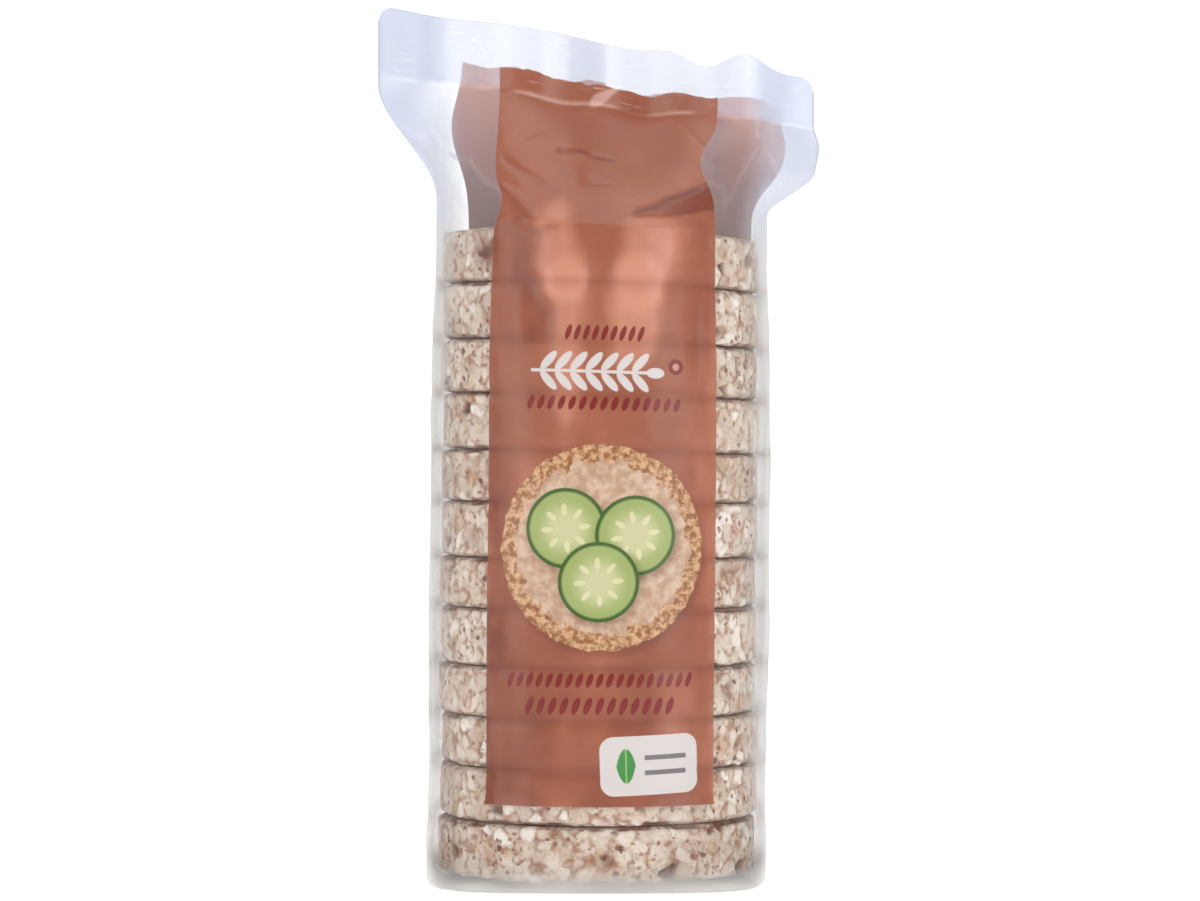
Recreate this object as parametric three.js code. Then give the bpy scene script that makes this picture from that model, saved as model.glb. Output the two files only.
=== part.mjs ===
// A sealed clear bag round a stack of twelve thick puffed rice cakes, standing on its folded base.
// Millimetres, +Z up, front towards -Y. The origin is the middle of the flat base.
import * as THREE from 'three';
import { mergeVertices } from 'three/addons/utils/BufferGeometryUtils.js';

// The stack: the cakes from the lowest up, on the film that is folded under them
const FOLDED_FILM = 2;
const CAKE_THICKNESS = [17.1, 15.8, 15.0, 14.8, 16.9, 14.9, 16.3, 14.9, 16.5, 15.6, 16.7, 16.0];
const STACK_TOP = CAKE_THICKNESS.reduce((sum, thickness) => sum + thickness, FOLDED_FILM);

// The upper cakes lean down to the right, and the whole stack drifts to the right as it rises
const SETTLED_SLOPE = 0.004;
const TOP_SLOPE = 0.032;
const SLOPE_FROM = 95;
const SLOPE_TO = 160;
const DRIFT_AT_BASE = -1.2;
const DRIFT_PER_MM = 0.0085;

// The film round the stack: loose at the sides, on the cakes at the front and back
const HALF_WIDTH = 50.4;
const HALF_WIDTH_AT_TOP = 49.2;
const TAPER_FROM = 150;
const HALF_DEPTH = 47.2;
const GROOVE = 1.5;
const GROOVE_AT_SIDES = 0.35;
const SHOULDER = 2.4;
const ROUND = 2.1;
const FRONT_CORNERS = 4.6;
const BACK_CORNERS = 2.8;
const CORNER_HEIGHT = 28;
const BASE_ROUNDING = 2.2;
const BASE_STEP = 0.3 * BASE_ROUNDING;

// The closed end: the film rises from the top cake to a flat wavy seal with an ear at each side
const SEAL_LEFT = 66.9;
const SEAL_RIGHT = 64.6;
const SEAL_CORNER = 5;
const SEAL_HALF_THICKNESS = 0.55;
const SEAL_LOW = 233;
const SEAL_LOW_TILT = -0.12;
const SEAL_TOP = 251.4;
const SEAL_TOP_TILT = -0.165;
const EAR_FROM = 0.2;
const LEFT_EAR_TO = 0.95;
const RIGHT_EAR_TO = 0.62;
const RIGHT_EAR = { bulge: 2.4, at: 0.88, reach: 0.2, fade: 6 };
const ROOF_SWELL = 1.3;
const WAVE = { depth: 6.5, length: 62, start: 0.6, calmEnds: 12 };
const CURL = { at: 38, height: 3.2, length: 28, reach: 17 };
const PLEAT = { at: -1, depth: 3, halfWidth: 6.5 };

// How finely the faces follow the film
const POINTS_ROUND = 72;
const ROOF_STEPS = 11;
const SEAL_STEPS = 5;
const TINY = 1e-6;

const { lerp, smoothstep } = THREE.MathUtils;

const hump = (offset, width) => Math.exp(-((offset / width) ** 2));

// A superellipse's coordinate: round at exponent 2, and squarer above it
const rounded = (value, exponent) => Math.sign(value) * Math.abs(value) ** (2 / exponent);

const slopeAt = (z) =>
  -SETTLED_SLOPE * smoothstep(z, 0, SLOPE_FROM)
  - (TOP_SLOPE - SETTLED_SLOPE) * smoothstep(z, SLOPE_FROM, SLOPE_TO);

const driftAt = (z) => DRIFT_AT_BASE + DRIFT_PER_MM * z;

const sealLowAt = (x) => SEAL_LOW + SEAL_LOW_TILT * x;

const sealEndAt = (x) => (x < 0 ? SEAL_LEFT : SEAL_RIGHT);

// How far a rounded corner takes the seal's top edge down
function cornerDropAt(x) {
  const into = Math.max(0, Math.abs(x) - sealEndAt(x) + SEAL_CORNER) / SEAL_CORNER;
  return SEAL_CORNER * (1 - Math.sqrt(Math.max(0, 1 - into ** 2)));
}

const sealTopAt = (x) =>
  SEAL_TOP + SEAL_TOP_TILT * x - cornerDropAt(x)
  + CURL.height * hump(x - CURL.at, CURL.reach) * Math.sin((2 * Math.PI * (x - CURL.at)) / CURL.length);

// The seal waves towards the front and back, half as much at its ends
function sealDepthAt(x) {
  const calm = 1 - hump(sealEndAt(x) - Math.abs(x), WAVE.calmEnds) / 2;
  return WAVE.depth * calm * Math.sin((2 * Math.PI * x) / WAVE.length + WAVE.start);
}

// One ring of the film round the stack, pulled in by an inset
function bodyPoint(angle, z, inset) {
  const corners = Math.sin(angle) < 0 ? FRONT_CORNERS : BACK_CORNERS;
  const exponent = lerp(corners, ROUND, smoothstep(z, 0, CORNER_HEIGHT));
  const halfWidth = lerp(HALF_WIDTH, HALF_WIDTH_AT_TOP, smoothstep(z, TAPER_FROM, STACK_TOP));
  const x = (halfWidth - inset) * rounded(Math.cos(angle), exponent);
  const y = (HALF_DEPTH - inset) * rounded(Math.sin(angle), exponent);
  return new THREE.Vector3(x + driftAt(z), y, z + slopeAt(z) * x);
}

// The film sinks a little between two cakes, most at the front and back
function grooveInset(angle, depth) {
  return depth * lerp(GROOVE_AT_SIDES, 1, Math.sin(angle) ** 2);
}

// Where a point of the ring lies once the film is flat: the same share of the way round
function sealPoint(angle) {
  const share = angle <= Math.PI ? angle / Math.PI : 2 - angle / Math.PI;
  const x = lerp(SEAL_RIGHT, -SEAL_LEFT, share);
  const atAnEnd = Math.abs(Math.sin(angle)) < TINY;
  const side = atAnEnd ? 0 : Math.sign(Math.sin(angle));
  return { x, y: sealDepthAt(x) + side * SEAL_HALF_THICKNESS };
}

// The film between the top cake and the seal, with an inward pleat at the front
function roofPoint(angle, rise) {
  const from = bodyPoint(angle, STACK_TOP, 0);
  const to = sealPoint(angle);
  const leftShare = smoothstep(-to.x, -SEAL_RIGHT, SEAL_LEFT);
  const flare = smoothstep(rise, EAR_FROM, lerp(RIGHT_EAR_TO, LEFT_EAR_TO, leftShare));
  const onTheRight = Math.max(0, to.x / SEAL_RIGHT) ** 2;
  const ear = RIGHT_EAR.bulge * hump(rise - RIGHT_EAR.at, RIGHT_EAR.reach) * (1 - rise ** RIGHT_EAR.fade);
  const x = lerp(from.x, to.x, flare) + ear * onTheRight;
  const front = Math.max(0, -Math.sin(angle));
  const pleat = PLEAT.depth * front * hump(x - PLEAT.at, PLEAT.halfWidth) * 4 * rise * (1 - rise);
  const y = lerp(from.y, to.y, rise ** ROOF_SWELL) + pleat;
  return new THREE.Vector3(x, y, lerp(from.z, sealLowAt(to.x), rise));
}

function sealRingPoint(angle, rise) {
  const { x, y } = sealPoint(angle);
  return new THREE.Vector3(x, y, lerp(sealLowAt(x), sealTopAt(x), rise));
}

// Every ring from the base up, each a function from an angle to a point
function bagRings() {
  const rings = [
    (angle) => bodyPoint(angle, 0, BASE_ROUNDING),
    (angle) => bodyPoint(angle, BASE_STEP, BASE_STEP),
  ];
  let z = FOLDED_FILM;
  CAKE_THICKNESS.forEach((thickness, index) => {
    const top = z + thickness;
    const low = z + SHOULDER;
    const high = top - SHOULDER;
    rings.push((angle) => bodyPoint(angle, low, 0), (angle) => bodyPoint(angle, high, 0));
    if (index < CAKE_THICKNESS.length - 1) {
      rings.push((angle) => bodyPoint(angle, top, grooveInset(angle, GROOVE)));
    }
    z = top;
  });
  for (let step = 0; step <= ROOF_STEPS; step += 1) {
    rings.push((angle) => roofPoint(angle, step / ROOF_STEPS));
  }
  for (let step = 1; step <= SEAL_STEPS; step += 1) {
    rings.push((angle) => sealRingPoint(angle, step / SEAL_STEPS));
  }
  return rings;
}

// Joins the rings into one closed body, flat below and with a narrow strip along the seal's top edge
function loft(rings) {
  const positions = [];
  rings.forEach((ring) => {
    for (let j = 0; j < POINTS_ROUND; j += 1) {
      positions.push(...ring((2 * Math.PI * j) / POINTS_ROUND).toArray());
    }
  });
  const at = (ring, j) => ring * POINTS_ROUND + (j % POINTS_ROUND);
  const faces = [];
  for (let ring = 0; ring < rings.length - 1; ring += 1) {
    for (let j = 0; j < POINTS_ROUND; j += 1) {
      const [a, b, c, d] = [at(ring, j), at(ring, j + 1), at(ring + 1, j + 1), at(ring + 1, j)];
      faces.push(a, b, c, a, c, d);
    }
  }
  const centre = positions.length / 3;
  positions.push(driftAt(0), 0, 0);
  const last = rings.length - 1;
  for (let j = 0; j < POINTS_ROUND; j += 1) {
    faces.push(centre, at(0, j + 1), at(0, j));
  }
  for (let j = 0; j < POINTS_ROUND / 2; j += 1) {
    const [a, b] = [at(last, j), at(last, j + 1)];
    const [c, d] = [at(last, POINTS_ROUND - j - 1), at(last, POINTS_ROUND - j)];
    if (j < POINTS_ROUND / 2 - 1) faces.push(a, b, c);
    if (j > 0) faces.push(a, c, d);
  }
  const geometry = new THREE.BufferGeometry();
  geometry.setAttribute('position', new THREE.Float32BufferAttribute(positions, 3));
  geometry.setIndex(faces);
  return mergeVertices(geometry);
}

function sealedBag() {
  const film = new THREE.MeshStandardMaterial({ color: 0xd9c6b4, roughness: 0.45, metalness: 0 });
  const mesh = new THREE.Mesh(loft(bagRings()), film);
  mesh.name = 'sealed_bag';
  return mesh;
}

const pack = new THREE.Group();
pack.add(sealedBag());

export default pack;
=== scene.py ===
# A sealed clear bag round a stack of twelve thick puffed rice cakes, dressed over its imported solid.
# Lengths are in millimetres, and each mesh is scaled to metres as it is made.
import collections
import itertools
import math

import bpy
import numpy as np
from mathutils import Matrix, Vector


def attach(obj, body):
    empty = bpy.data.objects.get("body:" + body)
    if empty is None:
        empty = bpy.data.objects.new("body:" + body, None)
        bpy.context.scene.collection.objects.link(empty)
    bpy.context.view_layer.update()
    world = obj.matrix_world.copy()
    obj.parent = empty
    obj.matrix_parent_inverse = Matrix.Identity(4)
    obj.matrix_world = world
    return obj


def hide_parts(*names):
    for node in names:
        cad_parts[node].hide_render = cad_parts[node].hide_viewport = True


MM = 0.001

# The stack: the cakes from the lowest up, on the film that is folded under them
FOLDED_FILM = 2
CAKE_THICKNESS = (17.1, 15.8, 15.0, 14.8, 16.9, 14.9, 16.3, 14.9, 16.5, 15.6, 16.7, 16.0)
CAKE_RADIUS = 46.9
STACK_TOP = FOLDED_FILM + sum(CAKE_THICKNESS)
BOUNDARIES = [FOLDED_FILM + sum(CAKE_THICKNESS[:count]) for count in range(len(CAKE_THICKNESS) + 1)]

# The upper cakes lean down to the right, and the whole stack drifts to the right as it rises
SETTLED_SLOPE = 0.004
TOP_SLOPE = 0.032
SLOPE_FROM = 95
SLOPE_TO = 160
DRIFT_AT_BASE = -1.2
DRIFT_PER_MM = 0.0085

# The film round the stack: loose at the sides, on the cakes at the front and back
HALF_WIDTH = 50.4
HALF_WIDTH_AT_TOP = 49.2
TAPER_FROM = 150
HALF_DEPTH = 47.2
GROOVE = 0.35
GROOVE_REACH = 1.6
ROUND = 2.1
FRONT_CORNERS = 4.6
BACK_CORNERS = 2.8
CORNER_HEIGHT = 28
BASE_ROUNDING = 2.2

# The closed end: the film rises from the top cake to a flat wavy seal with an ear at each side
SEAL_LEFT = 66.9
SEAL_RIGHT = 64.6
SEAL_CORNER = 5
SEAL_HALF_THICKNESS = 0.14
SEAL_LOW = 233
SEAL_LOW_TILT = -0.12
SEAL_TOP = 251.4
SEAL_TOP_TILT = -0.165
SEAL_HEIGHT = SEAL_TOP - SEAL_LOW
EAR_FROM = 0.2
LEFT_EAR_TO = 0.95
RIGHT_EAR_TO = 0.62
RIGHT_EAR = {"bulge": 2.4, "at": 0.88, "reach": 0.2, "fade": 6}
ROOF_SWELL = 1.3
WAVE = {"depth": 6.5, "length": 62, "start": 0.6, "calm_ends": 12}
CURL = {"at": 38, "height": 3.2, "length": 28, "reach": 17}
PLEAT = {"at": -1, "depth": 3, "half_width": 6.5}

# The film laid flat: once round the tube, and along it from the middle of the base to the seal's edge
FILM_ROUND = 308
FILM_SIDE = FILM_ROUND / 4
ROOF_LENGTH = 56
BASE_LENGTH = 46
FILM_LENGTH = BASE_LENGTH + STACK_TOP + ROOF_LENGTH + SEAL_HEIGHT

# How finely the meshes follow the real surfaces
FILM_COLUMNS = 400
FILM_ROW = 1.95
ROOF_ROWS = 63
SEAL_ROWS = 38
CAKE_COLUMNS = 480
CAKE_ROW = 0.6

# The photograph's view: its frame in pixels, how wide a pixel is at the stack, and where the camera stands
PHOTO_WIDTH = 1200
PIXEL = 0.3016
CAMERA_DISTANCE = 1091
CAMERA_HEIGHT = 128
SENSOR_WIDTH = 36


def blend(start, end, share):
    return start + (end - start) * share


def smooth(value, low, high):
    """0 below low, 1 above high, and an even curve between."""
    share = np.clip((value - low) / (high - low), 0, 1)
    return share * share * (3 - 2 * share)


def hump(offset, width):
    return np.exp(-((offset / width) ** 2))


def rounded(value, exponent):
    """A superellipse's coordinate: round at exponent 2, and squarer above it."""
    return np.sign(value) * np.abs(value) ** (2 / exponent)


# Repeatable noise

CELL_FACTORS = np.array([73856093, 19349663, 83492791], np.int64)
STREAM_FACTOR = 2654435761
MIXING = ((30, 0xBF58476D1CE4E5B9), (27, 0x94D049BB133111EB))


def chance(cells, stream):
    """A repeatable number from 0 to 1 for each whole-number cell, different in each stream."""
    mixed = ((cells.astype(np.int64) * CELL_FACTORS).sum(-1) + stream * STREAM_FACTOR).astype(np.uint64)
    for shift, factor in MIXING:
        mixed = (mixed ^ (mixed >> np.uint64(shift))) * np.uint64(factor)
    mixed = mixed ^ (mixed >> np.uint64(31))
    return (mixed >> np.uint64(11)) / 2.0**53


def waver(points, size, stream):
    """Smooth noise from -1 to 1, with bumps about size across."""
    scaled = points / size
    base = np.floor(scaled)
    part = scaled - base
    part = part * part * (3 - 2 * part)
    total = 0
    for corner in itertools.product((0, 1), repeat=3):
        weight = np.prod(np.where(np.array(corner, bool), part, 1 - part), axis=-1)
        total = total + weight * chance(base + np.array(corner), stream)
    return 2 * total - 1


def stretched(points, tall):
    """Places for noise that is this much taller than it is wide."""
    return points / np.array([1, 1, tall])


def grains(points, size, stretch, stream):
    """For each point, how far it is from the nearest long grain's middle and from the next one's, in
    grain sizes, and the cell of the nearest."""
    scaled = points / size
    cells = np.floor(scaled)
    nearest = np.full(len(points), 9.0)
    second = nearest.copy()
    own = cells.copy()
    for step in itertools.product((-1, 0, 1), repeat=3):
        cell = cells + np.array(step)
        middle = cell + np.stack([chance(cell, stream + axis) for axis in range(3)], -1)
        turn = 2 * np.pi * chance(cell, stream + 3)
        rise = 2 * chance(cell, stream + 4) - 1
        level = np.sqrt(1 - rise**2)
        grain_axis = np.stack([level * np.cos(turn), level * np.sin(turn), rise], -1)
        away = scaled - middle
        along = (away * grain_axis).sum(-1)
        distance = np.sqrt((away**2).sum(-1) - (1 - stretch**-2) * along**2)
        closer = distance < nearest
        second = np.where(closer, nearest, np.minimum(second, distance))
        own = np.where(closer[:, None], cell, own)
        nearest = np.where(closer, distance, nearest)
    return nearest, second, own


# Meshes

def add_mesh(name, points, faces, material, uv=None, attributes=None, flat_faces=0):
    """A mesh from points in millimetres, smooth but for its last flat_faces. uv has one pair for each
    corner of each face."""
    mesh = bpy.data.meshes.new(name)
    mesh.from_pydata((np.asarray(points) * MM).tolist(), [], [list(face) for face in faces])
    count = len(mesh.polygons)
    mesh.polygons.foreach_set("use_smooth", np.arange(count) < count - flat_faces)
    if uv is not None:
        layer = mesh.uv_layers.new(name="OFBake")
        layer.data.foreach_set("uv", np.asarray(uv, np.float32).ravel())
    for title, values in (attributes or {}).items():
        attribute = mesh.attributes.new(title, "FLOAT", "POINT")
        attribute.data.foreach_set("value", np.asarray(values, np.float32))
    mesh.materials.append(material)
    mesh.update()
    piece = bpy.data.objects.new(name, mesh)
    bpy.context.scene.collection.objects.link(piece)
    return piece


def wrapped_faces(rows, columns):
    """Quads over a grid whose last column joins its first, facing out where columns run anticlockwise
    and rows run up, with each face's corners on the open grid that its flat map needs."""
    row, column = np.meshgrid(np.arange(rows - 1), np.arange(columns), indexing="ij")
    row = row.ravel()
    column = column.ravel()
    corners = [(row, column), (row, column + 1), (row + 1, column + 1), (row + 1, column)]
    faces = np.stack([r * columns + c % columns for r, c in corners], -1)
    open_grid = np.stack([r * (columns + 1) + c for r, c in corners], -1)
    return faces, open_grid


# The cakes

CAKE_SPREAD = 1.02
EDGE_ROUNDING = 1.2
EDGE_STEPS = 4
FACE_RINGS = (0.6, 12, 24, 33, 38, 41, 43, 44.4, 45.3)
FINE_RING = 0.8
HIDDEN_FACE_WEIGHT = 0.3
GRAIN = 4.6
GRAIN_STRETCH = 1.6
BUBBLE = 2.0
CAKE_GAP = 0.03
RIM_OPENS = (43.6, 46.2)
RIM_REACH = 1.1
FACE_MARGIN = 0.3
NOISE_APART = 200

# The relief of puffed grain, in millimetres: how domed each puff is, the crease round it, its bubbles, what
# has crumbled off the rim, and how uneven the whole is
PUFF_WARP = {"size": 2.9, "by": 0.8}
DOME = {"height": 0.36, "from": 0.22, "power": 1.3}
CREASE = {"width": 0.12, "depth": 0.2, "varies": 0.32, "over": 3.7, "ends": 0.24}
BUBBLES = {"depth": 0.09, "crease": 0.05, "width": 0.14, "stretch": 1.3}
CRUMBS = {"least": 0.3, "most": 1.1, "over": 4.3}
NOTCHES = {"depth": 1.8, "over": 7.5, "from": 0.44, "to": 0.62}
UNEVEN = {"depth": 0.3, "over": 12.0}

# What share of the puffs are sunk, are missing or stand proud, and how far
SUNK = {"share": 0.3, "depth": 0.5}
MISSING = {"share": 0.03, "depth": 2.3}
PROUD = {"lot": 0.6, "share": 0.14, "height": 0.2}

# Toast and bran gather in a belt round the middle of each cake's wall
BELT = {"at": 0.52, "reach": 0.26, "strength": 1.1, "calm": 0.45}
TOAST = {"varies": 0.35, "over": 14.0, "belt": 0.4}

# How the relief is painted as shade: the depth that is darkest, how dark the hidden faces between cakes are
# painted, and how wide the creases are that are browned and painted with shade
SHOWN = {"darkest": 2.6, "hidden": 0.9, "crease": 0.13}

# For each cake from the lowest up: how toasted and how speckled it is, and how far it lies off the middle
CakeLook = collections.namedtuple("CakeLook", "toast bran x y")
CAKES = (
    CakeLook(0.45, 1.0, 0.0, 0.0),
    CakeLook(0.40, 0.6, 0.5, 0.0),
    CakeLook(0.55, 0.9, 0.9, 0.1),
    CakeLook(0.20, 0.6, -0.3, 0.0),
    CakeLook(0.15, 0.5, 0.2, 0.1),
    CakeLook(0.50, 0.9, -0.4, 0.0),
    CakeLook(0.30, 0.9, 0.2, 0.0),
    CakeLook(0.55, 0.8, 0.0, 0.1),
    CakeLook(0.15, 0.5, 0.4, 0.0),
    CakeLook(0.35, 1.0, -0.5, 0.1),
    CakeLook(0.15, 0.7, 0.1, 0.0),
    CakeLook(0.60, 0.5, 0.0, 0.3),
)

# The hollows larger than a puff, which the painted shade of their depth turns brown: the cake's place in
# the stack, where each lies as seen from the front, its height on the cake, its size and its depth
Hollow = collections.namedtuple("Hollow", "cake x height size depth")
HOLLOWS = (
    Hollow(11, -34, 8.5, 3.6, 1.5),
    Hollow(0, 3.5, 7.5, 2.2, 1.3),
    Hollow(3, 39, 9.0, 2.6, 1.2),
    Hollow(6, -37, 6.0, 2.4, 1.1),
    Hollow(9, 41, 10.0, 2.4, 1.2),
)


def hollowed(index, points):
    """How much deeper each point of a cake lies for the hollows in it."""
    total = 0
    for hollow in HOLLOWS:
        if hollow.cake == index:
            middle = (hollow.x, -math.sqrt(CAKE_RADIUS**2 - hollow.x**2), hollow.height)
            uneven = 1 + 0.35 * waver(points, 2.6, 64)
            away = np.linalg.norm(points - np.array(middle), axis=-1) * uneven
            total = total + hollow.depth * hump(away, hollow.size)
    return total


def slope_at(z):
    settled = SETTLED_SLOPE * smooth(z, 0, SLOPE_FROM)
    return -settled - (TOP_SLOPE - SETTLED_SLOPE) * smooth(z, SLOPE_FROM, SLOPE_TO)


def drift_at(z):
    return DRIFT_AT_BASE + DRIFT_PER_MM * z


def cake_profile(thickness, fine_lower, fine_upper):
    """Radius, height and outward direction from the middle of the lower face to that of the upper one,
    and how far along its flat map each step lies."""
    flat = CAKE_RADIUS - EDGE_ROUNDING
    fine = tuple(np.arange(FACE_RINGS[0], flat - FACE_MARGIN, FINE_RING))
    lower = fine if fine_lower else FACE_RINGS
    upper = fine if fine_upper else FACE_RINGS
    wall = np.linspace(EDGE_ROUNDING, thickness - EDGE_ROUNDING, round(thickness / CAKE_ROW))[1:-1]
    edge = []
    for turn in np.linspace(0, math.pi / 2, EDGE_STEPS + 1):
        out, up = math.sin(turn), math.cos(turn)
        edge.append((flat + EDGE_ROUNDING * out, EDGE_ROUNDING * (1 - up), out, -up))
    steps = [(r, 0, 0, -1) for r in lower] + edge
    steps += [(CAKE_RADIUS, z, 1, 0) for z in wall]
    steps += [(r, thickness - z, out, -up) for r, z, out, up in edge[::-1]]
    steps += [(r, thickness, 0, 1) for r in upper[::-1]]
    profile = np.array(steps)
    lengths = np.hypot(*np.diff(profile[:, :2], axis=0).T)
    hidden = np.abs(profile[:-1, 3]) == 1
    lengths[hidden & (profile[:-1, 1] == 0) & (not fine_lower)] *= HIDDEN_FACE_WEIGHT
    lengths[hidden & (profile[:-1, 1] > 0) & (not fine_upper)] *= HIDDEN_FACE_WEIGHT
    along = np.concatenate([[0], np.cumsum(lengths)])
    return profile, along / along[-1]


def puffed_relief(points, rim, stream):
    """How far each point of a smooth cake lies below it, once it is made of puffed grains, with the lot
    of the grain it is on and how close it is to the crease round that grain."""
    warp = np.stack([waver(points, PUFF_WARP["size"], stream + 20 + axis) for axis in range(3)], -1)
    near, second, own = grains(points + PUFF_WARP["by"] * warp, GRAIN, GRAIN_STRETCH, stream)
    gap = second - near
    lot = chance(own, stream + 7)
    inside = smooth(gap, 0.0, CREASE["ends"])
    dome = DOME["height"] * np.clip(near - DOME["from"], 0, None) ** DOME["power"]
    deeper = CREASE["depth"] + CREASE["varies"] * waver(points, CREASE["over"], stream + 30)
    crease = hump(gap, CREASE["width"]) * deeper
    sunk = SUNK["depth"] * np.clip(1 - lot / SUNK["share"], 0, 1) * inside
    missing = MISSING["depth"] * (lot > 1 - MISSING["share"]) * inside
    proud = PROUD["height"] * (np.abs(lot - PROUD["lot"]) < PROUD["share"] / 2) * inside
    bubble_near, bubble_second, _ = grains(points, BUBBLE, BUBBLES["stretch"], stream + 40)
    bubbles = BUBBLES["depth"] * np.clip(bubble_near, 0, 1) ** 2
    bubbles = bubbles + BUBBLES["crease"] * hump(bubble_second - bubble_near, BUBBLES["width"])
    crumbled = np.clip(waver(points, CRUMBS["over"], stream + 60), 0, 1)
    crumbs = rim * (CRUMBS["least"] + CRUMBS["most"] * crumbled)
    notched = smooth(waver(points, NOTCHES["over"], stream + 63), NOTCHES["from"], NOTCHES["to"])
    notches = rim * NOTCHES["depth"] * notched
    uneven = UNEVEN["depth"] * (0.5 + 0.5 * waver(points, UNEVEN["over"], stream + 61))
    depth = dome + crease + sunk + missing - proud + bubbles + crumbs + notches + uneven
    return np.clip(depth, 0, None), lot, gap


def cake_faces(rows, along):
    """The faces of a cake's skin with a cap at the middle of each side, and its flat map, on which the
    caps are lines."""
    faces, corners = wrapped_faces(rows, CAKE_COLUMNS)
    caps = [np.arange(CAKE_COLUMNS)[::-1], (rows - 1) * CAKE_COLUMNS + np.arange(CAKE_COLUMNS)]
    grid_u, grid_v = np.meshgrid(np.linspace(0, 1, CAKE_COLUMNS + 1), along, indexing="xy")
    flat = np.stack([grid_u, grid_v], -1).reshape(-1, 2)
    cap_map = [np.stack([np.linspace(1, 0, CAKE_COLUMNS), np.full(CAKE_COLUMNS, v)], -1) for v in (0, 1)]
    uv = np.concatenate([flat[corners].reshape(-1, 2), *cap_map])
    return faces.tolist() + [cap.tolist() for cap in caps], uv


def stacked(points, index, thickness):
    """A cake's points in its place in the stack."""
    about = CAKES[index]
    low = BOUNDARIES[index] + CAKE_GAP
    x = CAKE_SPREAD * points[:, 0]
    slope = blend(slope_at(BOUNDARIES[index]), slope_at(BOUNDARIES[index + 1]), points[:, 2] / thickness)
    z = points[:, 2] + (low + slope * x)
    return np.stack([x + (drift_at(low + thickness / 2) + about.x), points[:, 1] + about.y, z], -1)


def rice_cake(index, material):
    """One puffed cake, in its place in the stack."""
    thickness = CAKE_THICKNESS[index] - 2 * CAKE_GAP
    lowest, topmost = index == 0, index == len(CAKES) - 1
    profile, along = cake_profile(thickness, lowest, topmost)
    angles = 2 * math.pi * np.arange(CAKE_COLUMNS) / CAKE_COLUMNS
    radius, height, out, up = profile.T[:, :, None]
    round_x = np.cos(angles)[None, :]
    round_y = np.sin(angles)[None, :]
    level = np.ones_like(round_x)
    points = np.stack([radius * round_x, radius * round_y, height * level], -1).reshape(-1, 3)
    outward = np.stack([out * round_x, out * round_y, up * level], -1).reshape(-1, 3)
    stream = 1000 * (index + 1)
    to_rim = np.minimum(height, thickness - height) + np.clip(CAKE_RADIUS - EDGE_ROUNDING - radius, 0, None)
    rim = (hump(to_rim, RIM_REACH) * level).ravel()
    depth, lot, gap = puffed_relief(points + NOISE_APART * index, rim, stream)
    depth = depth + hollowed(index, points)
    hidden = ((up == -1) & (not lowest)) | ((up == 1) & (not topmost))
    shut = (np.where(hidden, smooth(radius, *RIM_OPENS), 1) * level).ravel()
    points = points - outward * (depth * shut)[:, None]
    belt = BELT["strength"] * (hump(points[:, 2] / thickness - BELT["at"], BELT["reach"]) - BELT["calm"])
    points = stacked(points, index, thickness)
    about = CAKES[index]
    toasted = TOAST["varies"] * waver(points, TOAST["over"], stream + 62)
    attributes = {
        # painted shade: darker with the relief's depth and on the faces hidden between cakes
        "depth": np.clip(np.maximum(depth / SHOWN["darkest"], SHOWN["hidden"] - shut), 0, 1),
        "grain": lot,
        "toast": np.clip(about.toast + toasted + TOAST["belt"] * belt, 0, 1),
        "bran": np.clip(about.bran * (1 + belt), 0, 2),
        # where the creases are browned and painted with shade
        "crease": hump(gap, SHOWN["crease"]),
    }
    faces, uv = cake_faces(len(profile), along)
    return add_mesh(f"rice_cake_{index + 1:02d}", points, faces, material, uv, attributes)


# The film

# How the flat film comes to lie in the seal: the seal's middle, the front band's half width and middle on
# the flat film, and how much narrower the band lies once it is sealed
SEAL_MIDDLE = 1.8
BAND_HALF = 34.75
BAND_AT = 0.95
SEAL_BAND_SPREAD = 0.945

# Where the seal's foot hangs in soft scallops, and how far
SCALLOPS = ((-12, 2.0, 9), (13, 1.8, 8), (40, 0.8, 7))


def seal_low_at(x):
    hang = sum(depth * hump(x - at, reach) for at, depth, reach in SCALLOPS)
    return SEAL_LOW + SEAL_LOW_TILT * x - hang


def seal_end_at(x):
    return np.where(x < 0, SEAL_LEFT, SEAL_RIGHT)


def corner_drop_at(x):
    """How far a rounded corner takes the seal's top edge down."""
    into = np.clip(np.abs(x) - seal_end_at(x) + SEAL_CORNER, 0, SEAL_CORNER) / SEAL_CORNER
    return SEAL_CORNER * (1 - np.sqrt(1 - into**2))


def seal_top_at(x):
    curl = CURL["height"] * hump(x - CURL["at"], CURL["reach"])
    turn = np.sin(2 * math.pi * (x - CURL["at"]) / CURL["length"])
    return SEAL_TOP + SEAL_TOP_TILT * x - corner_drop_at(x) + curl * turn


def seal_depth_at(x):
    calm = 1 - hump(seal_end_at(x) - np.abs(x), WAVE["calm_ends"]) / 2
    return WAVE["depth"] * calm * np.sin(2 * math.pi * x / WAVE["length"] + WAVE["start"])


def seal_x_at(around):
    """Where the film's column at this distance from the front's middle comes to lie in the seal."""
    folded = np.where(np.abs(around) <= FILM_SIDE, around, np.sign(around) * 2 * FILM_SIDE - around)
    reach = SEAL_BAND_SPREAD * BAND_HALF
    inner = SEAL_MIDDLE + SEAL_BAND_SPREAD * folded
    beyond = (np.abs(folded) - BAND_HALF) / (FILM_SIDE - BAND_HALF)
    right = blend(SEAL_MIDDLE + reach, SEAL_RIGHT, beyond)
    left = blend(SEAL_MIDDLE - reach, -SEAL_LEFT, beyond)
    return np.where(np.abs(folded) <= BAND_HALF, inner, np.where(folded > 0, right, left))


def film_angles():
    """Columns from the back's middle by the left, the front and the right to the back again."""
    return math.pi / 2 + 2 * math.pi * np.arange(FILM_COLUMNS) / FILM_COLUMNS


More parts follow.
